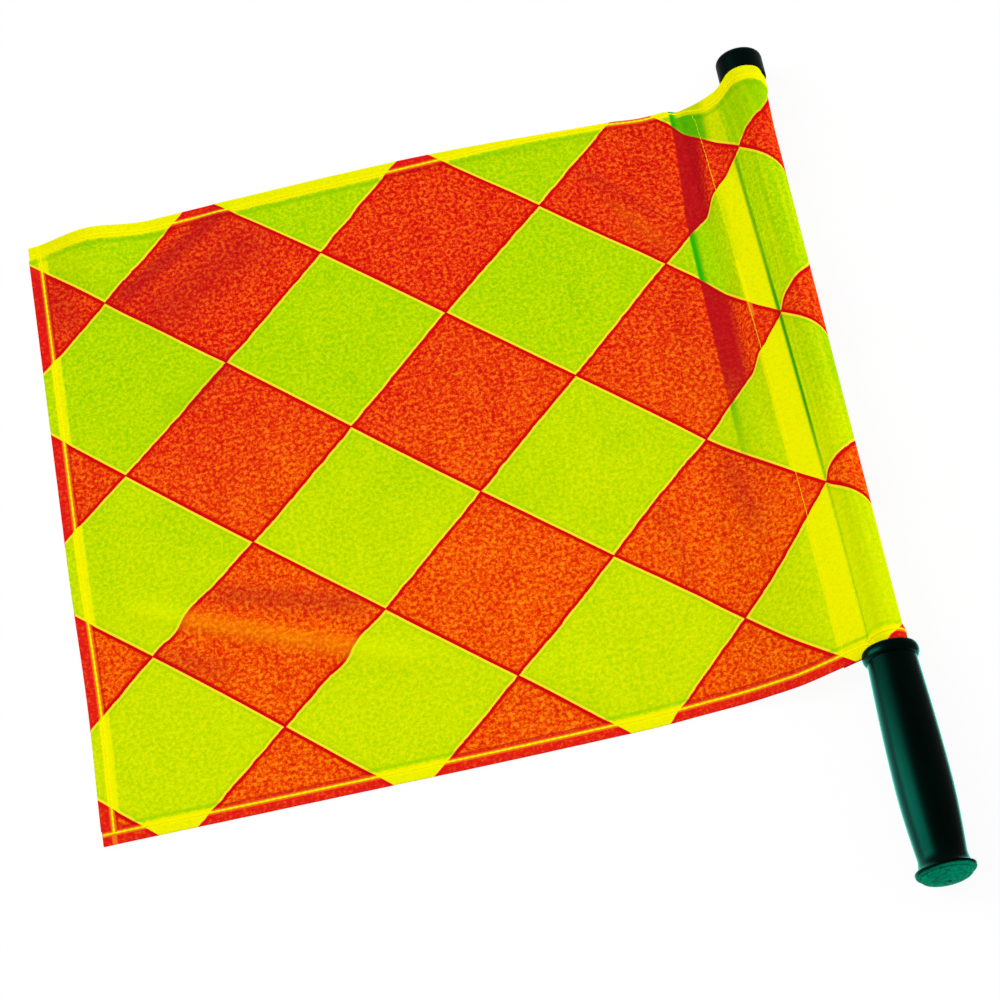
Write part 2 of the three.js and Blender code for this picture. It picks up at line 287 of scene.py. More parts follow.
def makeFloor():
    half, height = studio["floorHalf"], studio["floorHeight"]
    mesh = bpy.data.meshes.new("studioFloor")
    corners = [(x, y, height) for x, y in ((-half, -half), (half, -half), (half, half), (-half, half))]
    mesh.from_pydata(corners, [], [(0, 1, 2, 3)])
    finish = Finish(bpy.data.materials.new("whiteFloor"), "Material Output")
    finish.nodes.remove(finish.nodes["Principled BSDF"])
    matt = finish.node("BsdfDiffuse", {}, {"Color": studio["floorShade"]})
    glow = finish.node("Emission", {}, {})
    share = seenWhite(finish) * studio["floorGlow"]
    surface = finish.node("MixShader", {}, {0: share, 1: matt, 2: glow})
    mesh.materials.append(finish.show({"Surface": surface}))
    newPiece("studioFloor", mesh)


makeWorld()
makeFloor()
lamp("keyLamp", "SUN", studio["keyFrom"], (0, 0, 0), {
    "energy": studio["keyPower"], "angle": studio["keySoftness"]})
fill = lamp("fillLamp", "SUN", studio["fillFrom"], (0, 0, 0), {
    "energy": studio["fillPower"], "use_shadow": False})
fill.visible_glossy = False
gleamLamp("gripGleam", studio["gleamPlace"], studio["gleamTarget"], studio["gleamSize"], studio["gleamPower"])
aboveCard = Vector(studio["cardPlace"]) + Vector((0, 0, 1))
gleamLamp("gripCard", studio["cardPlace"], aboveCard, studio["cardSize"], studio["cardPower"])
print("lamps and floor placed")


# The cloth is one continuous sheet.
cloth = {
    "width": 444.5,
    "height": 389.5,
    "thickness": 0.34,
    "rest": 0.25,              # height of a single layer's middle above the floor
    "pitch": 0.8,              # from one layer to the next where it is folded
    "hem": 8.0,
    "hemFade": (0.2, 2.2),
    "drawnInBottom": 10.3,
    "drawnInTop": 5.4,
    "sleeveStart": 135.8,
    "bore": 8.3,
    "slack": 1.5,              # at the top end it hangs this much wider, to one side
    "hang": math.pi / 5,
    "ease": 0.5,               # the sleeve stands off the tube by this all round
    "aside": 0.6,              # and leans this much away from the cloth
    "skinGap": 0.25,
    "mouth": 1.2,              # it is wider by this at its top end
    "mouthRun": 40.0,          # over this length
    "mouthLift": 4.2,          # and rides up over the cap's rim
    "mouthLiftRun": 28.0,
    "mouthLiftFace": (98, 75, 45),       # round which angle, how far to each side, how softly
    "mouthReach": 1.2,         # its upper half reaches this far over the cap
    "mouthReachFace": 50,
    "mouthDip": (2.4, 16.0, 10.0),       # but dips beside the tube: depth, place, width
    "stripe": 17.5,
    "stripeDrop": 1.8,
    "stripeDropTop": 5.0,      # how much lower the stripe's sewn edge lies at the top end
    "stripeDropRun": 0.14,
    "creaseGap": (0.5, 6.4),   # at the bottom end, and how much more at the top
    "creaseDrop": (0.5, 2.5),
    "creaseOpens": (0.82, 0.14),
    "creaseReach": (4, 4),     # columns that its bend takes to each side, and how many more where it is open
    "creaseRounds": (3, 60),   # how often they are eased, and how much more often
    "toe": (95.0, 50.0),       # where the cloth begins to climb to the sleeve, and how much nearer at the top
    "bottomBow": -0.8,
    "bottomEase": (2.0, 140.0, 85.0),
    "bottomRise": (56.0, -6.0),
    "topBow": 2.8,
    "topDip": (5.2, 220.0, 45.0),
    "topTuck": (3.0, 86.0, 60.0),
    "topRise": (27.0, 13.0),
    "flyBow": (1.3, 85.0, 90.0, 380.0, 60.0),            # depth, middle and half-length, and where it begins
    "rolled": (4.6, (225.0, 335.0), (408.0, 424.0)),     # how far the top hem rolls under, from and to where
    "ridge": {"height": 3.8, "crest": 52.6, "bend": 5.0, "bends": (0.74, 0.24), "valley": 6.5,
              "from": 0.34, "grows": 0.26, "width": 42},
    "rows": 108,
    "columns": (96, 50),       # in the open part, and from hoistZone to the sleeve
    "hoistZone": 112.0,
    "loopSteps": 44,
}
hemPlaces = [0.0, 0.5, 1.2, 2.2, 3.4, 4.8, 6.0, 6.8, 7.6, 8.4, 9.4, 10.8, 12.8, 15.4, 18.3]
stripePlaces = [0, 1, 2, 3, 4.4, 6.2, 8.4, 10.8, 13, 14.8, 16, 16.8, 17.5]
underShares = [0, 0.1, 0.25, 0.45, 0.7, 0.86, 0.92]
flyStitchColumn = 7
longStitches, flyStitches = hemPlaces[6], hemPlaces[flyStitchColumn]      # from the edge to the stitches
folds = [
    {"height": 8.5, "place": (0.085, 1.0), "reach": (0.085, 0.17), "turn": 0},
    {"height": 2.2, "place": (0.6, 0.1), "reach": (0.12, 0.07), "turn": -math.pi / 9},
]
# soft creases along a line: height, reach to each side, and tone, the painted light (above 0) or painted
# shade (below 0) it lays on the cloth
creases = [
    {"line": ((-394, 466), (-324, 510)), "height": 1.3, "reach": 11, "tone": -0.8},
    {"line": ((-378, 446), (-302, 490)), "height": 1.6, "reach": 30, "tone": -0.5},
    {"line": ((-372, 384), (-336, 408)), "height": 1.2, "reach": 14, "tone": -0.6},
    {"line": ((-410, 262), (-256, 196)), "height": 1.6, "reach": 10, "tone": 1.0},
    {"line": ((-362, 262), (-280, 235)), "height": 1.0, "reach": 12, "tone": -0.5},
    {"line": ((-396, 230), (-362, 213)), "height": 0.8, "reach": 12, "tone": -0.35},
    {"line": ((-436, 484), (-424, 452)), "height": 0.3, "reach": 18, "tone": -0.45},
    {"line": ((-434, 503), (-404, 489)), "height": 0.3, "reach": 14, "tone": 0.6},
    {"line": ((-106, 484), (-72, 444)), "height": 0.9, "reach": 8, "tone": -0.45},
    {"line": ((-92, 458), (-69, 421)), "height": 0.9, "reach": 8, "tone": 0.3},
    {"line": ((-60, 272), (-54, 230)), "height": 0.8, "reach": 9, "tone": -0.4},
    {"line": ((-104, 258), (-92, 199)), "height": 0.8, "reach": 9, "tone": -0.2},
]
creaseFade = (18, 30)          # how far it runs out beyond its ends, and how softly
kink = {"line": ((-410, 262), (-256, 196)), "reach": 22, "shift": 9.0, "fade": (10, 30)}
waves = {
    "seed": 11,
    "count": 26,
    "long": (70, 190),
    "longHeight": 0.35,
    "short": (14, 34),
    "shortHeight": 0.10,
}

sleeveLength = cloth["height"] - cloth["drawnInBottom"] - cloth["drawnInTop"]
sleeveEnd = cloth["sleeveStart"] + sleeveLength
clothBottom = cloth["sleeveStart"] - cloth["drawnInBottom"]
clothTop = sleeveEnd + cloth["drawnInTop"]


def ramp(x, start, end):
    # 0 to 1 between two distances from the sleeve
    return smooth((x + start) / (start - end))


def bowAt(x):
    return np.sin(math.pi * x / cloth["width"]) ** 2


def bottomEdge(x):
    ease, start, end = cloth["bottomEase"]
    bowed = clothBottom + cloth["bottomBow"] * bowAt(x) + ease * ramp(x, start, end)
    return mix(bowed, cloth["sleeveStart"], ramp(x, *cloth["bottomRise"]))


def topEdge(x):
    dip, dipStart, dipEnd = cloth["topDip"]
    tuck, tuckStart, tuckEnd = cloth["topTuck"]
    dipped = clothTop + cloth["topBow"] * bowAt(x) - dip * ramp(x, dipStart, dipEnd)
    return mix(dipped - tuck * ramp(x, tuckStart, tuckEnd), sleeveEnd, ramp(x, *cloth["topRise"]))


def alongAt(x, t):
    # place along the tube of row t (0 at the bottom edge) where it crosses x
    low, high, full = bottomEdge(x), topEdge(x), cloth["height"]
    settled = hemPlaces[-1]
    middle = mix(low + settled, high - settled, (t - settled) / (full - 2 * settled))
    return np.where(t < settled, low + t, np.where(t > full - settled, high - full + t, middle))


def hemShare(distance):
    # 1 on a folded hem, 0 past it
    start, width = cloth["hemFade"]
    return 1 - smooth((distance - cloth["hem"] - start) / width)


def along01(y):
    return np.clip((y - cloth["sleeveStart"]) / sleeveLength, 0, 1)


def planeWaves(x, y, seed, lengths):
    draw = random.Random(seed)
    total = np.zeros_like(x)
    for _ in range(waves["count"]):
        turn, length = draw.uniform(0, math.tau), draw.uniform(*lengths)
        along = x * math.cos(turn) + y * math.sin(turn)
        total = total + np.sin(along * math.tau / length + draw.uniform(0, math.tau))
    return total / math.sqrt(waves["count"])


def nearEnd(y, run):
    # 0 to 1 over the last part of the sleeve
    return smooth((y - sleeveEnd + run) / run)


def eased(line, first, last):
    # points first to last, each drawn half-way towards its two neighbours
    return (line[first - 1:last - 1] + 2 * line[first:last] + line[first + 1:last + 1]) / 4


def sleeveSection(y, hemmed):
    # the cloth's line across the tube: seam, crease, round the tube, crease and seam of the under layer
    share, height = along01(y), axisHeight(y)
    slack = cloth["slack"] * smooth(share)
    radius = cloth["bore"] + cloth["skinGap"] + cloth["ease"] + cloth["aside"]
    radius += cloth["pitch"] * hemmed + slack
    radius += cloth["mouth"] * nearEnd(y, cloth["mouthRun"])
    hang = cloth["hang"]
    centre = np.array([cloth["aside"] - slack * math.sin(hang), height - slack * math.cos(hang)])
    gap, spread = cloth["creaseGap"]
    drop, dropSpread = cloth["creaseDrop"]
    upper = np.array([
        centre[0] - radius + cloth["ease"] - gap - spread * share ** 2,
        height - drop - dropSpread * share,
    ])
    under = upper - np.array([0, cloth["pitch"] * (1 + 2 * hemmed)])
    run = cloth["stripeDropRun"]
    fall = cloth["stripeDrop"] + cloth["stripeDropTop"] * float(smooth((share - (1 - run)) / run))
    step = np.array([math.sqrt(cloth["stripe"] ** 2 + cloth["stripeDrop"] ** 2 - fall ** 2), fall])
    touch = []
    for point, side in ((upper, -1), (under, 1)):
        offset = point - centre
        lean = math.acos(min(1, radius / math.hypot(*offset)))
        touch.append((math.atan2(offset[1], offset[0]) + side * lean) % math.tau)
    angles = np.linspace(touch[0], touch[1] - math.tau, cloth["loopSteps"] + 1)
    lift = cloth["mouthLift"] * nearEnd(y, cloth["mouthLiftRun"])
    middle, half, softness = cloth["mouthLiftFace"]
    lifted = radius + lift * smooth((half - np.abs(np.degrees(angles) - middle)) / softness)
    loop = centre + lifted[:, None] * np.stack([np.cos(angles), np.sin(angles)], 1)
    loop[:, 1] = np.maximum(loop[:, 1], cloth["rest"] * 2)
    stripeShares = np.array(stripePlaces) / cloth["stripe"]
    runShares = np.linspace(0, 1, 7)[1:-1]
    line = [upper - step * (1 - s) for s in stripeShares]
    line += [mix(upper, loop[0], s) for s in runShares]
    line += list(loop)
    line += [mix(loop[-1], under, s) for s in runShares]
    line += [under - step * s for s in underShares]
    line = np.array(line)
    # the crease is a soft bend, which opens out towards the top end
    opens, over = cloth["creaseOpens"]
    openness = float(smooth((share - opens) / over))
    amounts = cloth["creaseReach"], cloth["creaseRounds"]
    reach, rounds = (least + int(more * openness) for least, more in amounts)
    bend = len(stripePlaces) - 1
    for _ in range(rounds):
        line[bend - reach:bend + reach] = eased(line, bend - reach, bend + reach)
    return line


def foldHeight(x, y):
    total = np.zeros_like(x)
    for fold in folds:
        du = x + cloth["width"] - fold["place"][0] * cloth["width"]
        dv = y - clothBottom - fold["place"][1] * cloth["height"]
        u = (du * math.cos(fold["turn"]) + dv * math.sin(fold["turn"])) / (fold["reach"][0] * cloth["width"])
        v = (dv * math.cos(fold["turn"]) - du * math.sin(fold["turn"])) / (fold["reach"][1] * cloth["height"])
        total = total + fold["height"] * smooth(1 - np.hypot(u, v))
    return total + creaseSum(x, y, "height")


def besideLine(line, x, y, beyond, fade):
    # distance to one side of a line, and a share that fades out past its ends
    start, end = (np.array(point, float) for point in line)
    length = math.hypot(*(end - start))
    ahead = (end - start) / length
    along = (x - start[0]) * ahead[0] + (y - start[1]) * ahead[1]
    aside = (y - start[1]) * ahead[0] - (x - start[0]) * ahead[1]
    return aside, smooth((along + beyond) / fade) * smooth((length + beyond - along) / fade)


def patternKink(x, y):
    # the diamonds' borders bend where they cross the longest crease
    aside, taper = besideLine(kink["line"], x, y, *kink["fade"])
    aside = aside / kink["reach"]
    return kink["shift"] * taper * aside * smooth(1 - np.abs(aside))


def creaseSum(x, y, quality):
    total = np.zeros_like(x)
    for crease in creases:
        aside, taper = besideLine(crease["line"], x, y, *creaseFade)
        total = total + crease[quality] * taper * smooth(1 - np.abs(aside) / crease["reach"])
    return total


def crestLine(share):
    # place across of the ridge in the cloth beside the sleeve
    start, over = cloth["ridge"]["bends"]
    return cloth["ridge"]["bend"] * smooth((share - start) / over) - cloth["ridge"]["crest"]


def ridgeStrength(share):
    return smooth((share - cloth["ridge"]["from"]) / cloth["ridge"]["grows"])


def panelHeight(x, y, lift, seam):
    # from the floor up to the sewn edge of the sleeve
    share = along01(y)
    flat = cloth["rest"] + cloth["pitch"] * lift
    ridge = cloth["ridge"]
    strength = ridgeStrength(share)
    toe = -(cloth["toe"][0] - cloth["toe"][1] * share)
    slow = smooth((x - toe) / (seam[0] - toe))
    valley = seam[0] - ridge["valley"]
    upValley = (x - valley) / (seam[0] - valley)
    fast = smooth(upValley) * 0.9 + 0.1 * np.clip(upValley, 0, 1)
    climb = mix(slow, fast, strength)
    crest = crestLine(share)
    rise = smooth((x - crest + ridge["width"]) / ridge["width"]) ** 1.5
    fall = 1 - np.clip((x - crest) / (valley - crest), 0, 1) ** 0.9
    stand = ridge["height"] * strength * np.where(x < crest, rise, fall)
    long = 0.5 + 0.5 * np.clip(planeWaves(x, y, waves["seed"], waves["long"]), -1, 1)
    short = 0.5 + 0.5 * np.clip(planeWaves(x, y, waves["seed"] + 1, waves["short"]), -1, 1)
    laid = foldHeight(x, y) + waves["longHeight"] * long + waves["shortHeight"] * short + stand
    return mix(flat + laid, seam[1], climb)


def clothRow(t):
    # one row of the sheet from the fly edge, round the tube, to the sewn edge of the under layer
    hemmed = float(hemShare(min(t, cloth["height"] - t)))
    y0 = float(alongAt(np.array(0.0), t))
    line = sleeveSection(y0, hemmed)
    seam = line[0]
    edge = np.array(hemPlaces) - cloth["width"]
    wide, narrow = cloth["columns"]
    field = np.linspace(edge[-1], -cloth["hoistZone"], wide + 1)[1:]
    hoist = np.linspace(-cloth["hoistZone"], seam[0], narrow + 1)[1:-1]
    x = np.concatenate([edge, field, hoist])
    y = alongAt(x, t)
    # the fly edge is drawn in a little below its middle
    bow, middle, half, start, over = cloth["flyBow"]
    x = x + bow * smooth(1 - abs(t - middle) / half) * smooth((-x - start) / over)
    lift = np.maximum(hemmed, hemShare(x + cloth["width"]))
    panel = np.stack([x, y, panelHeight(x, y, lift, seam)], 1)
    fromTop = np.abs(np.degrees(np.arctan2(line[:, 0], line[:, 1] - axisHeight(y0))))
    dip, dipPlace, dipWidth = cloth["mouthDip"]
    nearMouth = smooth((t - cloth["height"] + cloth["mouthRun"]) / cloth["mouthRun"])
    reach = cloth["mouthReach"] * smooth((cloth["mouthReachFace"] - fromTop) / cloth["mouthReachFace"])
    reach = reach - dip * smooth(1 - np.abs(line[:, 0] + dipPlace) / dipWidth)
    sleeve = np.stack([line[:, 0], alongAt(line[:, 0], t) + reach * nearMouth, line[:, 1]], 1)
    row = np.concatenate([panel, sleeve])
    seamColumn = len(x)
    narrow -= 1
    for _ in range(2):                               # the ridge and the seam are soft bends
        row[seamColumn - narrow:seamColumn + 3, 2] = eased(row[:, 2], seamColumn - narrow, seamColumn + 3)
    return row


def rowNormals(row):
    ahead = np.roll(row, -1, 0) - np.roll(row, 1, 0)
    ahead[0], ahead[-1] = row[1] - row[0], row[-1] - row[-2]
    normals = np.stack([-ahead[:, 2], np.zeros(len(row)), ahead[:, 0]], 1)
    return normals / np.linalg.norm(normals, axis=1)[:, None]


fullHeight = cloth["height"]
inner = np.linspace(hemPlaces[-1], fullHeight - hemPlaces[-1], cloth["rows"] + 1)[1:-1]
rowPlaces = np.concatenate([hemPlaces, inner, fullHeight - np.array(hemPlaces)[::-1]])
surface = np.array([clothRow(t) for t in rowPlaces])
surfaceNormals = np.array([rowNormals(row) for row in surface])
lengths = np.linalg.norm(np.diff(surface, axis=1), axis=2)
arcs = np.concatenate([np.zeros((len(surface), 1)), np.cumsum(lengths, axis=1)], axis=1)
seamColumn = len(hemPlaces) + sum(cloth["columns"]) - 1
creaseColumn = seamColumn + len(stripePlaces) - 1
stitchColumn = seamColumn + 2
print("cloth surface:", surface.shape[:2], "rows and columns")


# How far the diamonds shift near the sleeve, where the cloth is pulled: a column for each distance from the
# crease, a row for each height on the cloth.
pull = {
    "distances": (-180, -125, -60, 0, 30, 80),
    "heights": (0, 48, 106, 164, 223, 281, 340, 389.5),
    "across": ((0, 0, 3.8, 5.5, 0.5, 0.5), (0, 0, 3.8, 6.5, 0.7, 0.7), (0, 1.1, 3.0, 7.5, 1.0, 1.0),
               (0, 0.2, 1.1, 5.5, 1.5, 1.5), (0, -0.4, 1.0, 3.4, 1.6, 1.6), (0, -0.5, 0.4, 3.3, 2.2, 2.2),
               (0, -0.5, -0.5, 3.0, 2.7, 2.7), (0, -0.5, -0.5, 3.0, 2.7, 2.7)),
    "along": ((0, 0, 1.0, 1.0, -0.4, -0.4), (0, 0, 1.7, 1.0, 1.5, 1.5), (0, 0.5, 2.0, 4.6, 2.2, 2.2),
              (0, 0.6, 1.0, 4.4, 2.7, 2.7), (0, 0.9, 2.0, 4.1, 3.2, 3.2), (0, 1.1, 4.4, 4.4, 4.5, 4.5),
              (0, 1.4, 3.2, 4.6, 5.7, 5.7), (0, 1.0, 2.5, 3.8, 5.0, 5.0)),
}
# elsewhere the cloth is only tugged a little
tugs = [
    {"at": (178, 150), "reach": 180, "across": 0.0, "along": -2.8},
    {"at": (8, 165), "reach": 140, "across": 4.0, "along": 0.5},
]


def pulled(kind, fromCrease, t):
    # smooth blend of the table's values at one height and distance
    table = np.array(pull[kind], float)
    heights, distances = np.array(pull["heights"]), np.array(pull["distances"])
    row = np.clip(np.searchsorted(heights, t, side="right") - 1, 0, len(heights) - 2)
    down = smooth((t - heights[row]) / (heights[row + 1] - heights[row]))
    column = np.clip(np.searchsorted(distances, fromCrease, side="right") - 1, 0, len(distances) - 2)
    over = np.clip((fromCrease - distances[column]) / (distances[column + 1] - distances[column]), 0, 1)
    low = mix(table[row, column], table[row, column + 1], over)
    high = mix(table[row + 1, column], table[row + 1, column + 1], over)
    return mix(low, high, down)


def patternPlace(arc, fromCrease, t):
    # where the woven diamonds lie
    across, along = (pulled(kind, fromCrease, t) for kind in ("across", "along"))
    for tug in tugs:
        share = smooth(1 - np.hypot(arc - tug["at"][0], t - tug["at"][1]) / tug["reach"])
        across, along = across + tug["across"] * share, along + tug["along"] * share
    return arc + across, t - along


def underRows(rows, normals, places):
    # strip along one long edge; rows[0] is the edge itself
    count = sum(place <= cloth["hem"] for place in places)
    half = cloth["pitch"] / 2
    outward = rows[0] - rows[1]
    outward = outward / np.linalg.norm(outward, axis=1)[:, None]
    made, reach = [], []
    for angle in np.linspace(0, math.pi, 6)[1:]:
        made.append(rows[0] + outward * half * math.sin(angle) - normals[0] * half * (1 - math.cos(angle)))
        reach.append(half * angle)
    for i in range(1, count, 2):
        made.append(rows[i] - normals[i] * cloth["pitch"])
        reach.append(half * math.pi + places[i])
    return np.array(made), np.array(reach)


def buildCloth():
    lowRows, lowReach = underRows(surface, surfaceNormals, hemPlaces)
    highRows, highReach = underRows(surface[::-1], surfaceNormals[::-1], hemPlaces)
    points = np.concatenate([lowRows[::-1], surface, highRows])
    places = np.concatenate([-lowReach[::-1], rowPlaces, fullHeight + highReach])
    arcGrid = np.concatenate([
        np.repeat(arcs[:1], len(lowRows), 0), arcs, np.repeat(arcs[-1:], len(highRows), 0)])
    rows, columns = points.shape[:2]
    placeGrid = np.repeat(places[:, None], columns, 1)
    creaseGrid = arcGrid - arcGrid[:, creaseColumn][:, None]
    clamped = np.clip(placeGrid, 0, fullHeight)
    u, v = patternPlace(arcGrid, creaseGrid, clamped)
    u = u + patternKink(points[:, :, 0], points[:, :, 1])
    v = v + placeGrid - clamped
    index = np.arange(rows * columns).reshape(rows, columns)
    verts = list(points.reshape(-1, 3))
    coordinates = {
        "pattern": list(np.stack([u, v], 2).reshape(-1, 2)),
        "edges": list(np.stack([arcGrid, placeGrid], 2).reshape(-1, 2)),
        "hoist": list(np.stack([creaseGrid, placeGrid], 2).reshape(-1, 2)),
    }
    faces = [(index[r, c], index[r, c + 1], index[r + 1, c + 1], index[r + 1, c])
             for r in range(rows - 1) for c in range(columns - 1)]
    # the fly hem hangs on the same edge, between the two long hems
    kept = [r for r, t in enumerate(rowPlaces) if cloth["hem"] < t < fullHeight - cloth["hem"]]
    first = len(lowRows)
    flyColumns = surface[kept].transpose(1, 0, 2)
    flyNormals = surfaceNormals[kept].transpose(1, 0, 2)
    flyRows, flyReach = underRows(flyColumns, flyNormals, hemPlaces)
    previous = [index[first + r, 0] for r in kept]
    for line, reach in zip(flyRows, flyReach):
        current = list(range(len(verts), len(verts) + len(kept)))
        verts.extend(line)
        for i, r in enumerate(kept):
            t = rowPlaces[r]
            for name, start in (("pattern", 0), ("edges", 0), ("hoist", arcs[r, creaseColumn])):
                coordinates[name].append((-reach - start, t))
        faces += [(current[i], previous[i], previous[i + 1], current[i + 1]) for i in range(len(kept) - 1)]
        previous = current
    mesh = bpy.data.meshes.new("flagCloth")
    mesh.from_pydata(placed(np.array(verts)).tolist(), [], [tuple(int(i) for i in face) for face in faces])
    corner = np.zeros(len(mesh.loops), int)
    mesh.loops.foreach_get("vertex_index", corner)
    for name, pairs in coordinates.items():
        layer = mesh.uv_layers.new(name=name)
        layer.data.foreach_set("uv", np.array(pairs, float)[corner].ravel())
    places = np.array(verts)
    share = along01(places[:, 1])
    # painted light and shade of the creases, and where the painted valley shade beside the sleeve lies
    shades = {
        "tone": creaseSum(places[:, 0], places[:, 1], "tone"),
        "pastCrest": places[:, 0] - crestLine(share),
        "ridge": ridgeStrength(share + 0.05),
    }
    for name, values in shades.items():
        attribute = mesh.attributes.new(name, "FLOAT", "POINT")
        attribute.data.foreach_set("value", values)
    mesh.shade_smooth()
    piece = newPiece("flagCloth", mesh)
    wall = piece.modifiers.new("clothThickness", "SOLIDIFY")
    wall.thickness = cloth["thickness"] * mm
    wall.offset = 0
    return piece


def applyModifiers(piece):
    evaluated = piece.evaluated_get(bpy.context.evaluated_depsgraph_get())
    mesh = bpy.data.meshes.new_from_object(evaluated)
    mesh.name = piece.name
    piece.modifiers.clear()
    piece.data = mesh
    return piece


# colours are sRGB 0-255; a field has its dark, middle and light shade
dye = {
    "red": ((200, 14, 12), (236, 40, 16), (255, 112, 20)),
    "redLow": ((216, 34, 6), (246, 79, 4), (255, 142, 16)),
    "redLine": (212, 8, 14),
    "yellow": ((150, 208, 0), (181, 221, 0), (208, 233, 8)),
    "yellowLow": ((184, 218, 0), (206, 229, 0), (226, 237, 8)),
    "yellowLine": (252, 232, 40),
    "yellowShade": (140, 206, 0),
    "hemRed": (228, 20, 22),
    "hemYellow": (244, 242, 0),
    "stitchRed": (250, 128, 26),
    # painted shade beside the hem stitches
    "besideStitch": (188, 10, 14),
    "stitchYellow": (252, 248, 0),
    # painted shade and painted light for the creases, the valley beside the sleeve and the sleeve's crease
    "deepRed": (182, 14, 26),
    "litRed": (255, 150, 4),
    "litYellow": (226, 240, 0),
    "deepYellow": (40, 176, 6),
    "creaseGreen": (34, 156, 10),
    "diamond": (133.4, 116.8),
    "start": (42.5, 339.6),    # a corner where four diamonds meet
    "borderPitch": 87.9,       # between two borders that run side by side
    "bleed": 0.35,             # the red runs this far over a border
    "wander": (0.11, 1.3),     # how fine the borders wander, and how far
}
# soft mottling of the knit: each noise's scale, detail, roughness and distortion
knit = {
    "blobs": (0.44, 2.0, 0.55, 0.3),
    "grain": (1.1, 1.0, 0.5),
    "drift": (0.07, 0.035, 1.0),
    "low": (0.36, 0.53),
    "high": (0.47, 0.66),
    "cloudScale": 0.018,
    "cloudReach": 240.0,
    "patchScale": 0.3,
    "patchReach": 1.2,
    "thread": 0.55,            # from one thread of the weave to the next
    "streaks": (0.32, 0.009, 1.0),
}
# where a look fades in, in millimetres from what the comment names
bands = {
    "bottomTint": (330.0, 60.0),          # the bottom edge
    "redLine": (1.5, 2.9),                # a border of a diamond
    "yellowRim": (-4.0, -1.2),
    "yellowLine": (-1.6, -1.1),
    "longHem": (9.0, 8.0),                # the nearest long edge
    "flyHem": (8.6, 7.6),                 # the fly edge
    "flyLineIn": (11.8, 10.4),
    "flyLineOut": (4.2, 5.6),
    "stripeSoftens": (190.0, 300.0),      # the bottom edge
    "stripeFades": (356.0, 322.0),
    "stripeSewn": (-18.6, -17.2),         # the sleeve's crease
    "stripeFold": (0.2, -1.2),
    "seamBegins": (235.0, 220.0),         # the bottom edge
    "seamEnds": (270.0, 285.0),
    "drawn": (1.9, 0.9),                  # a row of stitches
    "besideRed": (1.0, 0.2),
    "besideYellow": (1.8, 0.2),
    "pastRidge": (-0.6, 0.6),             # the ridge's crest
    "valleyNear": (6.0, 1.5),
    "valleyFar": (19.0, 8.0),
    "valleyTop": (23.0, 17.0),
    "byTop": (344.0, 366.0),              # the bottom edge
    "onSleeve": (1.0, 4.0),               # the sleeve's crease
    "creaseWide": (2.3, 0.4),
    "creaseFades": (362.0, 330.0),        # the bottom edge
    "creaseDeepens": (90.0, 165.0),
    "creaseEases": (235.0, 275.0),
    "sleeveBright": (190.0, 40.0),
    "sleeveDeep": (320.0, 376.0),
}
stripeSoftness = (1.5, 6.0)    # how much wider the stripe's edge fades where it softens
seamInside = 15.5              # from the crease to the sleeve's row of stitches
besideStitches = (9.2, 10.6)   # from the edge to the shade beside the stitches, on red and on yellow


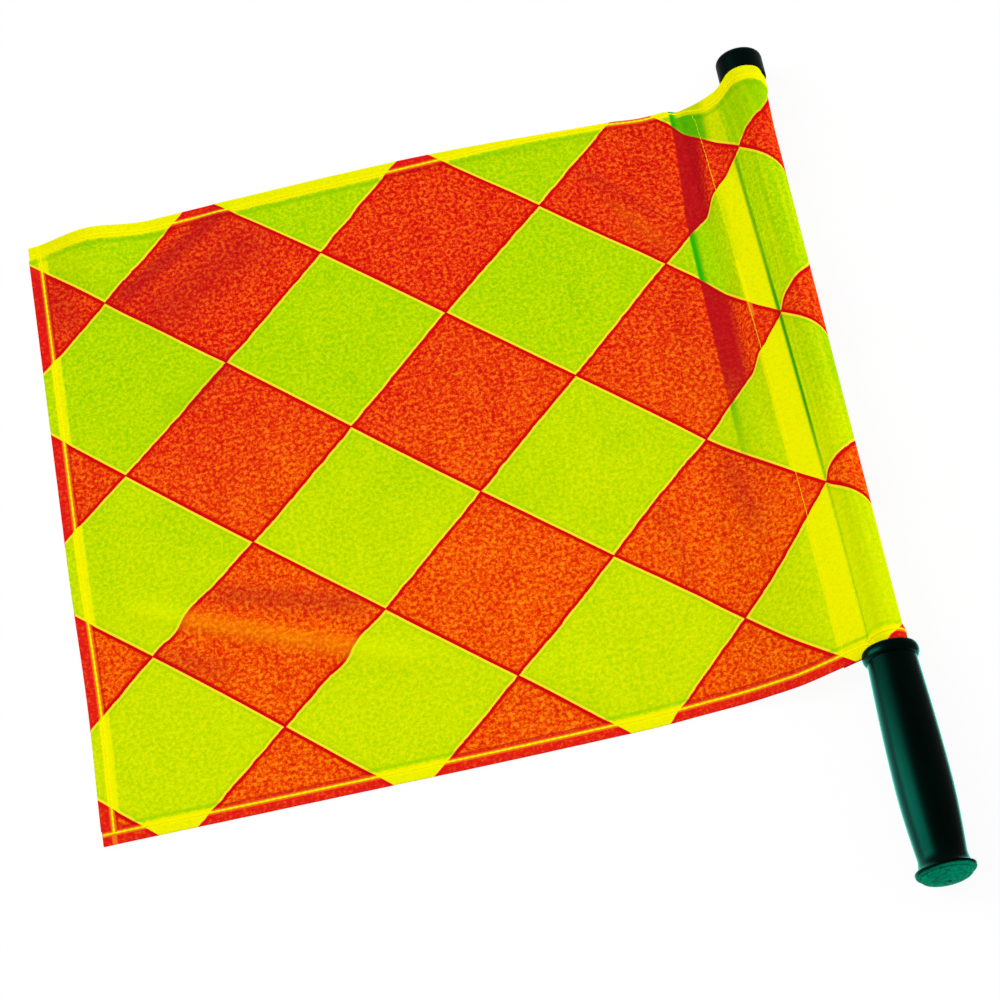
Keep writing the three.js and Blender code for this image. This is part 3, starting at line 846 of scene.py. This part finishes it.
def clothFinish():
    finish = newFinish("dyedCloth", {"Specular IOR Level": 0.0})
    u, v = finish.map("pattern")[1:]
    edgePair, fromFly, fromBottom = finish.map("edges")
    hoistPair, fromCrease = finish.map("hoist", 1)

    def within(value, band):
        return finish.step(value, *bands[band])

    def dyed(colour, shade, share):
        return finish.blend(colour, linear(dye[shade]), share)

    wobble = (finish.noise(edgePair, dye["wander"][0], 2.0) - 0.5) * dye["wander"][1]
    across = (u + wobble - dye["start"][0]) / dye["diamond"][0]
    down = (dye["start"][1] - v + wobble) / dye["diamond"][1]
    first, second = across + down, across - down
    side = finish.sum("SIGN", finish.sum("SINE", first * math.pi) * finish.sum("SINE", second * math.pi))
    # distance from the nearest border, above 0 on the red side
    nearest = finish.least(finish.sum("PINGPONG", first, 0.5), finish.sum("PINGPONG", second, 0.5))
    toBorder = nearest * dye["borderPitch"] * side + dye["bleed"]
    isRed = finish.sum("GREATER_THAN", toBorder, 0.0)
    blobs = finish.noise(edgePair, *knit["blobs"])
    grain = finish.noise(edgePair, *knit["grain"])
    drift = finish.noise(finish.stretched(edgePair, knit["drift"]), 1.0, 3.0, 0.6)
    mottle = blobs * 0.72 + grain * 0.28 + (drift - 0.5) * 0.12
    low = finish.step(mottle, *knit["low"])
    high = finish.step(mottle, *knit["high"])
    clouds = finish.noise(edgePair, knit["cloudScale"], 2.0, 0.5)
    toBottom = within(fromBottom + (clouds - 0.5) * knit["cloudReach"], "bottomTint")

    def field(name):
        dark, middle, light = (linear(shade) for shade in dye[name])
        return finish.blend(finish.blend(dark, middle, low), light, high)

    red = finish.blend(field("red"), field("redLow"), toBottom)
    red = finish.blend(linear(dye["redLine"]), red, within(toBorder, "redLine"))
    yellow = finish.blend(field("yellow"), field("yellowLow"), toBottom)
    yellow = dyed(yellow, "yellowShade", within(toBorder, "yellowRim") * 0.45)
    yellow = dyed(yellow, "yellowLine", within(toBorder, "yellowLine"))
    # double cloth: hems along the edges, and the flat stripe beside the sleeve, whose brightness is partly
    # double cloth and partly a painted highlight where it faces the lamp
    depth, begins, ends = cloth["rolled"]
    rolled = finish.step(fromFly, *begins) * finish.step(fromFly, *ends[::-1]) * depth
    toLong = finish.least(fromBottom, fullHeight - fromBottom + rolled)
    patch = (finish.noise(edgePair, knit["patchScale"], 2.0) - 0.5) * knit["patchReach"]
    onLongHem = within(toLong + patch, "longHem")
    onFlyHem = within(fromFly + patch, "flyHem")
    flyLine = within(fromFly + patch, "flyLineIn") * within(fromFly + patch, "flyLineOut")
    softened = within(fromBottom, "stripeSoftens")
    outer, inner = bands["stripeSewn"]
    wider = softened * stripeSoftness[0], softened * stripeSoftness[1]
    onStripe = finish.step(fromCrease, outer - wider[0], inner + wider[1]) * within(fromCrease, "stripeFold")
    onStripe = onStripe * (0.45 + 0.55 * within(fromBottom, "stripeFades"))
    doubledRed = finish.most(finish.most(onLongHem, onFlyHem), onStripe * 0.3)
    doubledYellow = finish.most(finish.most(onLongHem, flyLine * 0.9 + onFlyHem * 0.1), onStripe * 0.95)
    red = dyed(red, "hemRed", doubledRed * (0.9 - 0.2 * high))
    yellow = dyed(yellow, "hemYellow", doubledYellow * (1.0 - 0.25 * (1 - low)))
    # the rows of stitches draw the cloth in, which shows as a line; the sleeve's row shows only half-way up
    toEdge = finish.least(toLong, fromFly)
    toSeam = finish.size(fromCrease + seamInside) + within(fromBottom, "seamEnds") * 9
    toSeam = toSeam + within(fromBottom, "seamBegins") * 9
    toHems = finish.least(finish.size(toLong - longStitches), finish.size(fromFly - flyStitches))
    drawn = within(finish.least(toHems, toSeam), "drawn")
    red = dyed(red, "stitchRed", drawn * 0.85)
    yellow = dyed(yellow, "stitchYellow", drawn * 0.8)
    # painted shade along the step at each hem's inner edge, beside its stitches
    shadeRed, shadeYellow = finish.size(toEdge - besideStitches[0]), finish.size(toLong - besideStitches[1])
    red = dyed(red, "besideStitch", within(shadeRed, "besideRed") * 0.7)
    yellow = dyed(yellow, "yellowShade", within(shadeYellow, "besideYellow") * 0.6)
    # creases: painted light and painted shade along their lines
    tone, pastCrest, ridge = (finish.node("Attribute", {"attribute_name": name}, {}, out="Fac")
                              for name in ("tone", "pastCrest", "ridge"))
    lit = tone * (0.55 + 0.45 * high) * 0.85
    red = dyed(dyed(red, "litRed", lit), "deepRed", tone * -0.85)
    yellow = dyed(dyed(yellow, "litYellow", lit), "yellowShade", tone * -0.5)
    # painted shade in the valley beside the sleeve, which is painted all deep green near the top
    fromRidge = within(pastCrest, "pastRidge") * ridge
    valleyEnd, valleyFull = bands["valleyFar"]
    valleyShadeRed = fromRidge * finish.step(pastCrest, valleyEnd, valleyFull + ridge * 3.0)
    valleyShadeYellow = fromRidge * (within(pastCrest, "valleyNear") * 0.75 + within(pastCrest, "valleyFar") * 0.25)
    red = dyed(red, "deepRed", valleyShadeRed * 0.92)
    byTop = within(fromBottom, "byTop") * within(pastCrest, "valleyTop") * 0.8
    valleyShadeYellow = finish.most(valleyShadeYellow, fromRidge * byTop * (1 - onLongHem * 0.6))
    yellow = dyed(yellow, "deepYellow", valleyShadeYellow)
    # the sleeve has long soft streaks, and is brighter near the grip and deeper near the cap
    onSleeve = within(fromCrease, "onSleeve") * (1 - onLongHem)
    streak = finish.noise(finish.stretched(hoistPair, knit["streaks"]), 1.0, 2.0)
    yellow = dyed(yellow, "yellowShade", finish.step(streak, 0.5, 0.66) * onSleeve * 0.35)
    yellow = dyed(yellow, "litYellow", finish.step(streak, 0.46, 0.32) * onSleeve * 0.4)
    yellow = dyed(yellow, "litYellow", onSleeve * within(fromBottom, "sleeveBright") * 0.4)
    yellow = dyed(yellow, "yellowShade", onSleeve * within(fromBottom, "sleeveDeep") * 0.5)
    # its crease is a painted shadow line
    crease = within(finish.size(fromCrease - 0.4), "creaseWide") * within(fromBottom, "creaseFades")
    deepens = 0.2 + 0.75 * within(fromBottom, "creaseDeepens")
    crease = crease * (deepens - 0.3 * within(fromBottom, "creaseEases"))
    red = dyed(red, "deepRed", crease)
    yellow = dyed(yellow, "creaseGreen", crease)
    # plain weave, with the mottling, the seams and the crease in its relief
    weft, warp = (finish.sum("SINE", along * (math.tau / knit["thread"])) for along in (fromBottom, fromFly))
    height = weft * warp * 0.03 + mottle * 0.25 + drawn * -0.2 + crease * -0.3
    return finish.show({
        "Base Color": finish.blend(yellow, red, isRed),
        "Roughness": 0.76 + 0.14 * mottle,
        "Normal": finish.bump(height, 0.001, 0.6),
    })


flagCloth = applyModifiers(buildCloth())
flagCloth.data.materials.clear()
flagCloth.data.materials.append(clothFinish())
print("flag cloth:", len(flagCloth.data.polygons), "faces")

# All the stitches come from one Geometry Nodes tree.
stitch = {"Pitch": 3.5, "Stitch Length": 4.3, "Thread Width": 1.4, "Thread Height": 0.46, "Sway": 0.07}
thread = {
    "colours": ((250, 238, 0), (250, 246, 4)),
    "shades": 160.0,           # scale of the change between them
    "twist": (900, 500, 900),
    "seamFineness": 0.24,      # the sleeve's row is this much finer
    "above": 0.06,             # how far the upper thread's middle lies above the cloth
    "below": 0.15,             # how far the lower thread sinks into it
    "seamSunk": 0.08,
    "seamFrom": 7.5,           # the rows across leave the two long hems free
    "inset": 3,                # columns left free at each end of the long rows
}


def threadFinish():
    finish = newFinish("sewingThread", {"Roughness": 0.6, "Specular IOR Level": 0.0})
    place = finish.place()
    shade = finish.step(finish.noise(place, thread["shades"], 1.0), 0.35, 0.65)
    twist = finish.noise(finish.stretched(place, thread["twist"]), 1.0, 2.0)
    colour = finish.blend(*(linear(colour) for colour in thread["colours"]), shade)
    return finish.show({"Base Color": colour, "Normal": finish.bump(twist, 0.0002, 0.5)})


def stitchTree():
    tree = bpy.data.node_groups.new("stitchRow", "GeometryNodeTree")
    tree.is_modifier = True
    face = tree.interface
    face.new_socket("Geometry", in_out="INPUT", socket_type="NodeSocketGeometry")
    for name, value in stitch.items():
        face.new_socket(name, in_out="INPUT", socket_type="NodeSocketFloat").default_value = value
    face.new_socket("Seed", in_out="INPUT", socket_type="NodeSocketInt").default_value = 1
    face.new_socket("Geometry", in_out="OUTPUT", socket_type="NodeSocketGeometry")
    nodes, links = tree.nodes, tree.links

    def add(kind, settings=None, inputs=None):
        made = nodes.new(kind)
        for name, value in (settings or {}).items():
            setattr(made, name, value)
        for name, value in (inputs or {}).items():
            if isinstance(value, bpy.types.NodeSocket):
                links.new(value, made.inputs[name])
            else:
                made.inputs[name].default_value = value
        return made

    given = add("NodeGroupInput").outputs
    curve = add("GeometryNodeMeshToCurve", inputs={"Mesh": given["Geometry"]}).outputs[0]
    points = add("GeometryNodeCurveToPoints", {"mode": "LENGTH"}, {"Curve": curve, "Length": given["Pitch"]})
    up = add("GeometryNodeInputNamedAttribute", {"data_type": "FLOAT_VECTOR"}, {"Name": "up"}).outputs[0]
    upright = add("FunctionNodeAlignRotationToVector", {"axis": "Z"}, {"Vector": up})
    turned = add("FunctionNodeAlignRotationToVector", {"axis": "X", "pivot_axis": "Z"},
                 {"Rotation": upright.outputs[0], "Vector": points.outputs["Tangent"]})
    half = [add("ShaderNodeMath", {"operation": "MULTIPLY"}, {0: given[name], 1: 0.5}).outputs[0]
            for name in ("Stitch Length", "Thread Width", "Thread Height")]
    size = add("ShaderNodeCombineXYZ", inputs={0: half[0], 1: half[1], 2: half[2]}).outputs[0]
    grain = add("GeometryNodeMeshUVSphere", inputs={"Segments": 8, "Rings": 6, "Radius": 1.0}).outputs[0]
    shaped = add("GeometryNodeTransform", inputs={"Geometry": grain, "Scale": size}).outputs[0]
    rows = add("GeometryNodeInstanceOnPoints", inputs={
        "Points": points.outputs["Points"], "Instance": shaped, "Rotation": turned.outputs[0]})
    negative = add("ShaderNodeMath", {"operation": "MULTIPLY"}, {0: given["Sway"], 1: -1.0}).outputs[0]
    sway = add("FunctionNodeRandomValue", {"data_type": "FLOAT"}, {
        2: negative, 3: given["Sway"], "Seed": given["Seed"]}).outputs[1]
    spin = add("ShaderNodeCombineXYZ", inputs={2: sway}).outputs[0]
    swayed = add("GeometryNodeRotateInstances", inputs={"Instances": rows.outputs[0], "Rotation": spin})
    real = add("GeometryNodeRealizeInstances", inputs={"Geometry": swayed.outputs[0]}).outputs[0]
    rounded = add("GeometryNodeSetShadeSmooth", inputs={"Geometry": real}).outputs[0]
    finished = add("GeometryNodeSetMaterial", inputs={"Geometry": rounded, "Material": threadFinish()})
    add("NodeGroupOutput", inputs={0: finished.outputs[0]})
    return tree


sewingTree = stitchTree()


def lineAt(places):
    # a line along the sheet, at its own place up the cloth in each column, with its normals
    above = np.searchsorted(rowPlaces, places)
    share = ((places - rowPlaces[above - 1]) / (rowPlaces[above] - rowPlaces[above - 1]))[:, None]
    column = np.arange(len(places))
    return (mix(surface[above - 1, column], surface[above, column], share),
            mix(surfaceNormals[above - 1, column], surfaceNormals[above, column], share))


def stitchRow(name, lines, seed, fineness=1.0):
    # lines are (points, normals, lift in mm); one object holds the upper and the lower thread
    verts, edges, ups = [], [], []
    for points, normals, lift in lines:
        first = len(verts)
        verts += list(points + normals * lift)
        ups += list(normals)
        edges += [(first + i, first + i + 1) for i in range(len(points) - 1)]
    mesh = bpy.data.meshes.new(name)
    mesh.from_pydata(placed(np.array(verts)).tolist(), edges, [])
    attribute = mesh.attributes.new("up", "FLOAT_VECTOR", "POINT")
    attribute.data.foreach_set("vector", np.array(ups).ravel())
    piece = newPiece(name, mesh)
    modifier = piece.modifiers.new("stitches", "NODES")
    modifier.node_group = sewingTree
    for item in sewingTree.interface.items_tree:
        if item.in_out == "INPUT" and item.name in stitch:
            size = {"Sway": 1, "Thread Width": mm * fineness}.get(item.name, mm)
            modifier[item.identifier] = stitch[item.name] * size
        elif item.name == "Seed":
            modifier[item.identifier] = seed
    return applyModifiers(piece)


def sewnRows():
    skin = cloth["thickness"] / 2
    upper = skin + thread["above"]
    lower = cloth["pitch"] + skin - thread["below"]
    inward = np.full(surface.shape[1], longStitches)
    depth, begins, ends = cloth["rolled"]
    fromFly = arcs[-1]
    rolled = depth * smooth((fromFly - begins[0]) / (begins[1] - begins[0]))
    rolled = rolled * smooth((ends[1] - fromFly) / (ends[1] - ends[0]))
    lineBottom, upBottom = lineAt(inward)
    lineTop, upTop = lineAt(fullHeight - inward + rolled)
    inset = thread["inset"]
    body = [r for r, t in enumerate(rowPlaces) if thread["seamFrom"] < t < fullHeight - thread["seamFrom"]]
    seamLine, seamUp = surface[body, stitchColumn], surfaceNormals[body, stitchColumn]
    underLine, underUp = surface[body, -2], surfaceNormals[body, -2]
    sets = {
        "bottomStitches": (lineBottom[inset:-inset], upBottom[inset:-inset]),
        "topStitches": (lineTop[inset:-inset], upTop[inset:-inset]),
        "flyStitches": (surface[body, flyStitchColumn], surfaceNormals[body, flyStitchColumn]),
    }
    made = {}
    for seed, (name, (line, up)) in enumerate(sets.items()):
        made[name] = stitchRow(name, [(line, up, upper), (line, up, -lower)], seed)
    sunk = skin - thread["seamSunk"]
    made["sleeveStitches"] = stitchRow(
        "sleeveStitches", [(seamLine, seamUp, sunk), (underLine, underUp, upper)], 7, thread["seamFineness"])
    return made


stitches = sewnRows()
print("stitches:", {name: len(piece.data.polygons) for name, piece in stitches.items()})


# The hand grip, the end cap and the tube are turned.
sameSpot = 1e-7                # metres; points closer than this are one


def arcLine(centre, place, out, along, start, end, steps):
    angles = np.linspace(math.radians(start), math.radians(end), steps + 1)
    return [(centre + out * math.cos(a), place + along * math.sin(a)) for a in angles]


def turned(name, profile, segments, material, sharp=40):
    # spins a profile of (radius, place along the tube) round the tube's axis
    side = np.array([1.0, 0.0, 0.0])
    up = np.cross(side, poleAxis)
    verts, faces = [], []
    count = len(profile)
    for s in range(segments):
        angle = math.tau * s / segments
        out = side * math.cos(angle) + up * math.sin(angle)
        verts += [tuple(poleStart + (poleAxis * y + out * r) * mm) for r, y in profile]
        following = (s + 1) % segments
        for i in range(count):
            after = (i + 1) % count
            faces.append((s * count + i, s * count + after, following * count + after, following * count + i))
    shape = bmesh.new()
    made = [shape.verts.new(v) for v in verts]
    for face in faces:
        shape.faces.new([made[i] for i in face])
    bmesh.ops.remove_doubles(shape, verts=shape.verts, dist=sameSpot)
    bmesh.ops.dissolve_degenerate(shape, dist=sameSpot / 10, edges=shape.edges)
    bmesh.ops.recalc_face_normals(shape, faces=shape.faces)
    mesh = bpy.data.meshes.new(name)
    shape.to_mesh(mesh)
    shape.free()
    mesh.shade_smooth()
    mesh.set_sharp_from_angle(angle=math.radians(sharp))
    mesh.materials.append(material)
    return newPiece(name, mesh)


# what the grip and the cap share
moulded = {
    "gloss": 0.02,
    "glossTint": (0.05, 1.0, 0.78, 1.0),
    "grain": (2400.0, 2.0, 0.6),       # the noise's scale, detail and roughness
    "flow": (60, 18, 60),              # how fine its clouds are along each axis
    "marks": (500, 120, 500),
    "marksFrom": (0.58, 0.74),
    "roughness": 0.3,
    "relief": 0.00004,
    "patches": (420.0, 3.0, 0.6),
}


def rubberFinish(name, look):
    # smooth moulded rubber: fine grain, faint flow clouds, and a painted teal reflection on the grip's end
    finish = newFinish(name, {"Specular IOR Level": moulded["gloss"], "Specular Tint": moulded["glossTint"]})
    place = finish.place()
    grain = finish.noise(place, *moulded["grain"])
    flow = finish.noise(finish.stretched(place, moulded["flow"]), 1.0, 3.0, 0.5)
    marks = finish.noise(finish.stretched(place, moulded["marks"]), 1.0, 4.0, 0.7)
    marks = finish.step(marks, *moulded["marksFrom"])
    sheen = finish.step(flow, 0.3, 0.75) * 0.6 + marks * look["wear"]
    colour = finish.blend(linear(look["shade"]), linear(look["sheen"]), sheen)
    roughness = moulded["roughness"] + 0.08 * flow + marks * 0.1
    # a painted teal reflection on the grip's end, mottled in patches, and rougher there
    if "rubbedTo" in look:
        fromEnd = (finish.part(place, 1) - poleStart[1]) * 1000.0
        paintedSheenShare = finish.step(fromEnd + (flow - 0.5) * 2.0, look["rubbedTo"] + 1.2, look["rubbedTo"])
        patches = finish.step(finish.noise(place, *moulded["patches"]), 0.36, 0.62)
        rubbed = finish.blend(linear(look["rubbedDeep"]), linear(look["rubbed"]), patches)
        colour = finish.blend(colour, rubbed, paintedSheenShare * (0.8 + 0.2 * marks))
        roughness = roughness + paintedSheenShare * 0.6
    normal = finish.bump(grain + flow * 2, moulded["relief"], 0.5)
    return finish.show({"Base Color": colour, "Roughness": roughness, "Normal": normal})


grip = {
    "length": 135.0,
    "endWall": 5.5,
    "vent": 2.0,
    "dome": (14.2, 3.4),       # radius and rise
    "groove": (0.8, 0.7),      # width and depth
    "butt": (16.8, 6.6),       # radius and place
    "flare": 8.0,
    "lowerNeck": 13.5,
    "palm": (15.7, 57.0),      # radius and place
    "upperNeck": 13.8,
    "head": (15.9, 7.2),       # radius and width
    "headStep": 1.0,
    "bore": 8.3,
    "segments": 112,
    "rubber": {"shade": (2, 2, 1), "sheen": (0, 8, 6), "wear": 0.15,
               # the last three set the painted teal reflection on the grip's end
               "rubbedTo": 4.4, "rubbed": (0, 160, 120), "rubbedDeep": (0, 122, 88)},
}


def gripRadius(along):
    low, high = grip["butt"][1] + grip["flare"], grip["length"] - grip["head"][1]
    palmRadius, palmPlace = grip["palm"]
    if along < palmPlace:
        neck, t = grip["lowerNeck"], (along - low) / (palmPlace - low)
    else:
        neck, t = grip["upperNeck"], (high - along) / (high - palmPlace)
    return mix(neck, palmRadius, math.sin(t * math.pi / 2))


def gripProfile():
    dome, rise = grip["dome"]
    width, depth = grip["groove"]
    butt, buttPlace = grip["butt"]
    low, high = buttPlace + grip["flare"], grip["length"] - grip["head"][1]
    head, headWidth = grip["head"]
    lip, rim = rise + width, dome + depth
    flare, bead = butt - grip["lowerNeck"], head - grip["upperNeck"]
    profile = arcLine(0, rise, dome, rise, -90 + math.degrees(math.asin(grip["vent"] / dome)), -6, 16)
    profile += [(dome, rise), (dome - depth, lip - width / 2), (dome - 0.2, lip - 0.1), (rim, lip + 0.05)]
    profile += arcLine(rim, buttPlace, butt - dome - depth, buttPlace - lip, -60, 0, 8)
    profile += arcLine(butt, low, -flare, -grip["flare"], 90, 0, 16)[1:-1]
    profile += [(gripRadius(y), y) for y in np.linspace(low, high, 60)]
    profile += arcLine(head - bead, high + headWidth / 2, bead, headWidth / 2, -90, 90, 18)[1:]
    profile += [(head - bead - grip["headStep"], grip["length"]), (grip["bore"], grip["length"])]
    profile += [(grip["bore"], grip["endWall"]), (grip["vent"], grip["endWall"])]
    return profile


cap = {
    "radius": 14.0,
    "length": 17.0,
    "endWall": 4.0,
    "edge": 3.6,
    "lip": 0.8,
    "chamfer": 0.8,
    "gap": 0.8,                # from the end of the sleeve
    "rings": (7.0, 4.0),       # radii of the edges on the flat end
    "segments": 96,
    "rubber": {"shade": (2, 4, 3), "sheen": (0, 12, 10), "wear": 0.12},
}


def capProfile():
    start = sleeveEnd + cap["gap"]
    end = start + cap["length"]
    socket, shoulder = end - cap["endWall"], end - cap["edge"]
    profile = [(0.0, socket), (grip["bore"], socket), (grip["bore"], start + cap["chamfer"])]
    profile += [(grip["bore"] + cap["chamfer"], start)]
    profile += arcLine(cap["radius"] - cap["lip"], start + cap["lip"], cap["lip"], cap["lip"], -90, 0, 5)
    profile += [(cap["radius"], y) for y in np.linspace(start + cap["lip"], shoulder, 6)[1:-1]]
    profile += arcLine(cap["radius"] - cap["edge"], shoulder, cap["edge"], cap["edge"], 0, 90, 12)
    profile += [(radius, end) for radius in (*cap["rings"], 0.0)]
    return profile


tube = {
    "radius": 8.0,
    "wall": 1.2,
    "inset": 0.3,              # from the end walls of the grip and the cap
    "segments": 72,
    "metal": ((186, 189, 193), (214, 216, 219)),
    "lines": (3000, 12, 3000),
}


def tubeProfile():
    start = grip["endWall"] + tube["inset"]
    end = sleeveEnd + cap["gap"] + cap["length"] - cap["endWall"] - tube["inset"]
    inner, outer = tube["radius"] - tube["wall"], tube["radius"]
    return [(inner, start), (outer, start), (outer, end), (inner, end)]


def tubeFinish():
    # drawn metal with fine lines along it
    finish = newFinish("drawnTube", {"Metallic": 1.0})
    lines = finish.noise(finish.stretched(finish.place(), tube["lines"]), 1.0, 3.0, 0.6)
    colour = finish.blend(*(linear(shade) for shade in tube["metal"]), lines)
    normal = finish.bump(lines, 0.00002, 0.6)
    return finish.show({"Base Color": colour, "Roughness": 0.24 + 0.2 * lines, "Normal": normal})


handGrip = turned("handGrip", gripProfile(), grip["segments"], rubberFinish("gripRubber", grip["rubber"]))
endCap = turned("endCap", capProfile(), cap["segments"], rubberFinish("capRubber", cap["rubber"]))
poleTube = turned("poleTube", tubeProfile(), tube["segments"], tubeFinish())
print("turned pieces made")

# what each piece rides on and stands for
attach(flagCloth, "cloth")
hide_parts("flag_panel", "pole_sleeve", "top_hem", "bottom_hem", "fly_hem",
            "sleeve_top_hem", "sleeve_bottom_hem")
for name, node in (("topStitches", "top_stitching"), ("bottomStitches", "bottom_stitching"),
                   ("flyStitches", "fly_stitching"), ("sleeveStitches", "sleeve_stitching")):
    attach(stitches[name], "cloth")
    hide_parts(node)
for piece, body, node, slot in ((handGrip, "pole", "hand_grip", "grip"), (endCap, "cap", "end_cap", "cap"),
                                (poleTube, "pole", "pole_tube", "tube")):
    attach(piece, body)
    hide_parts(node)
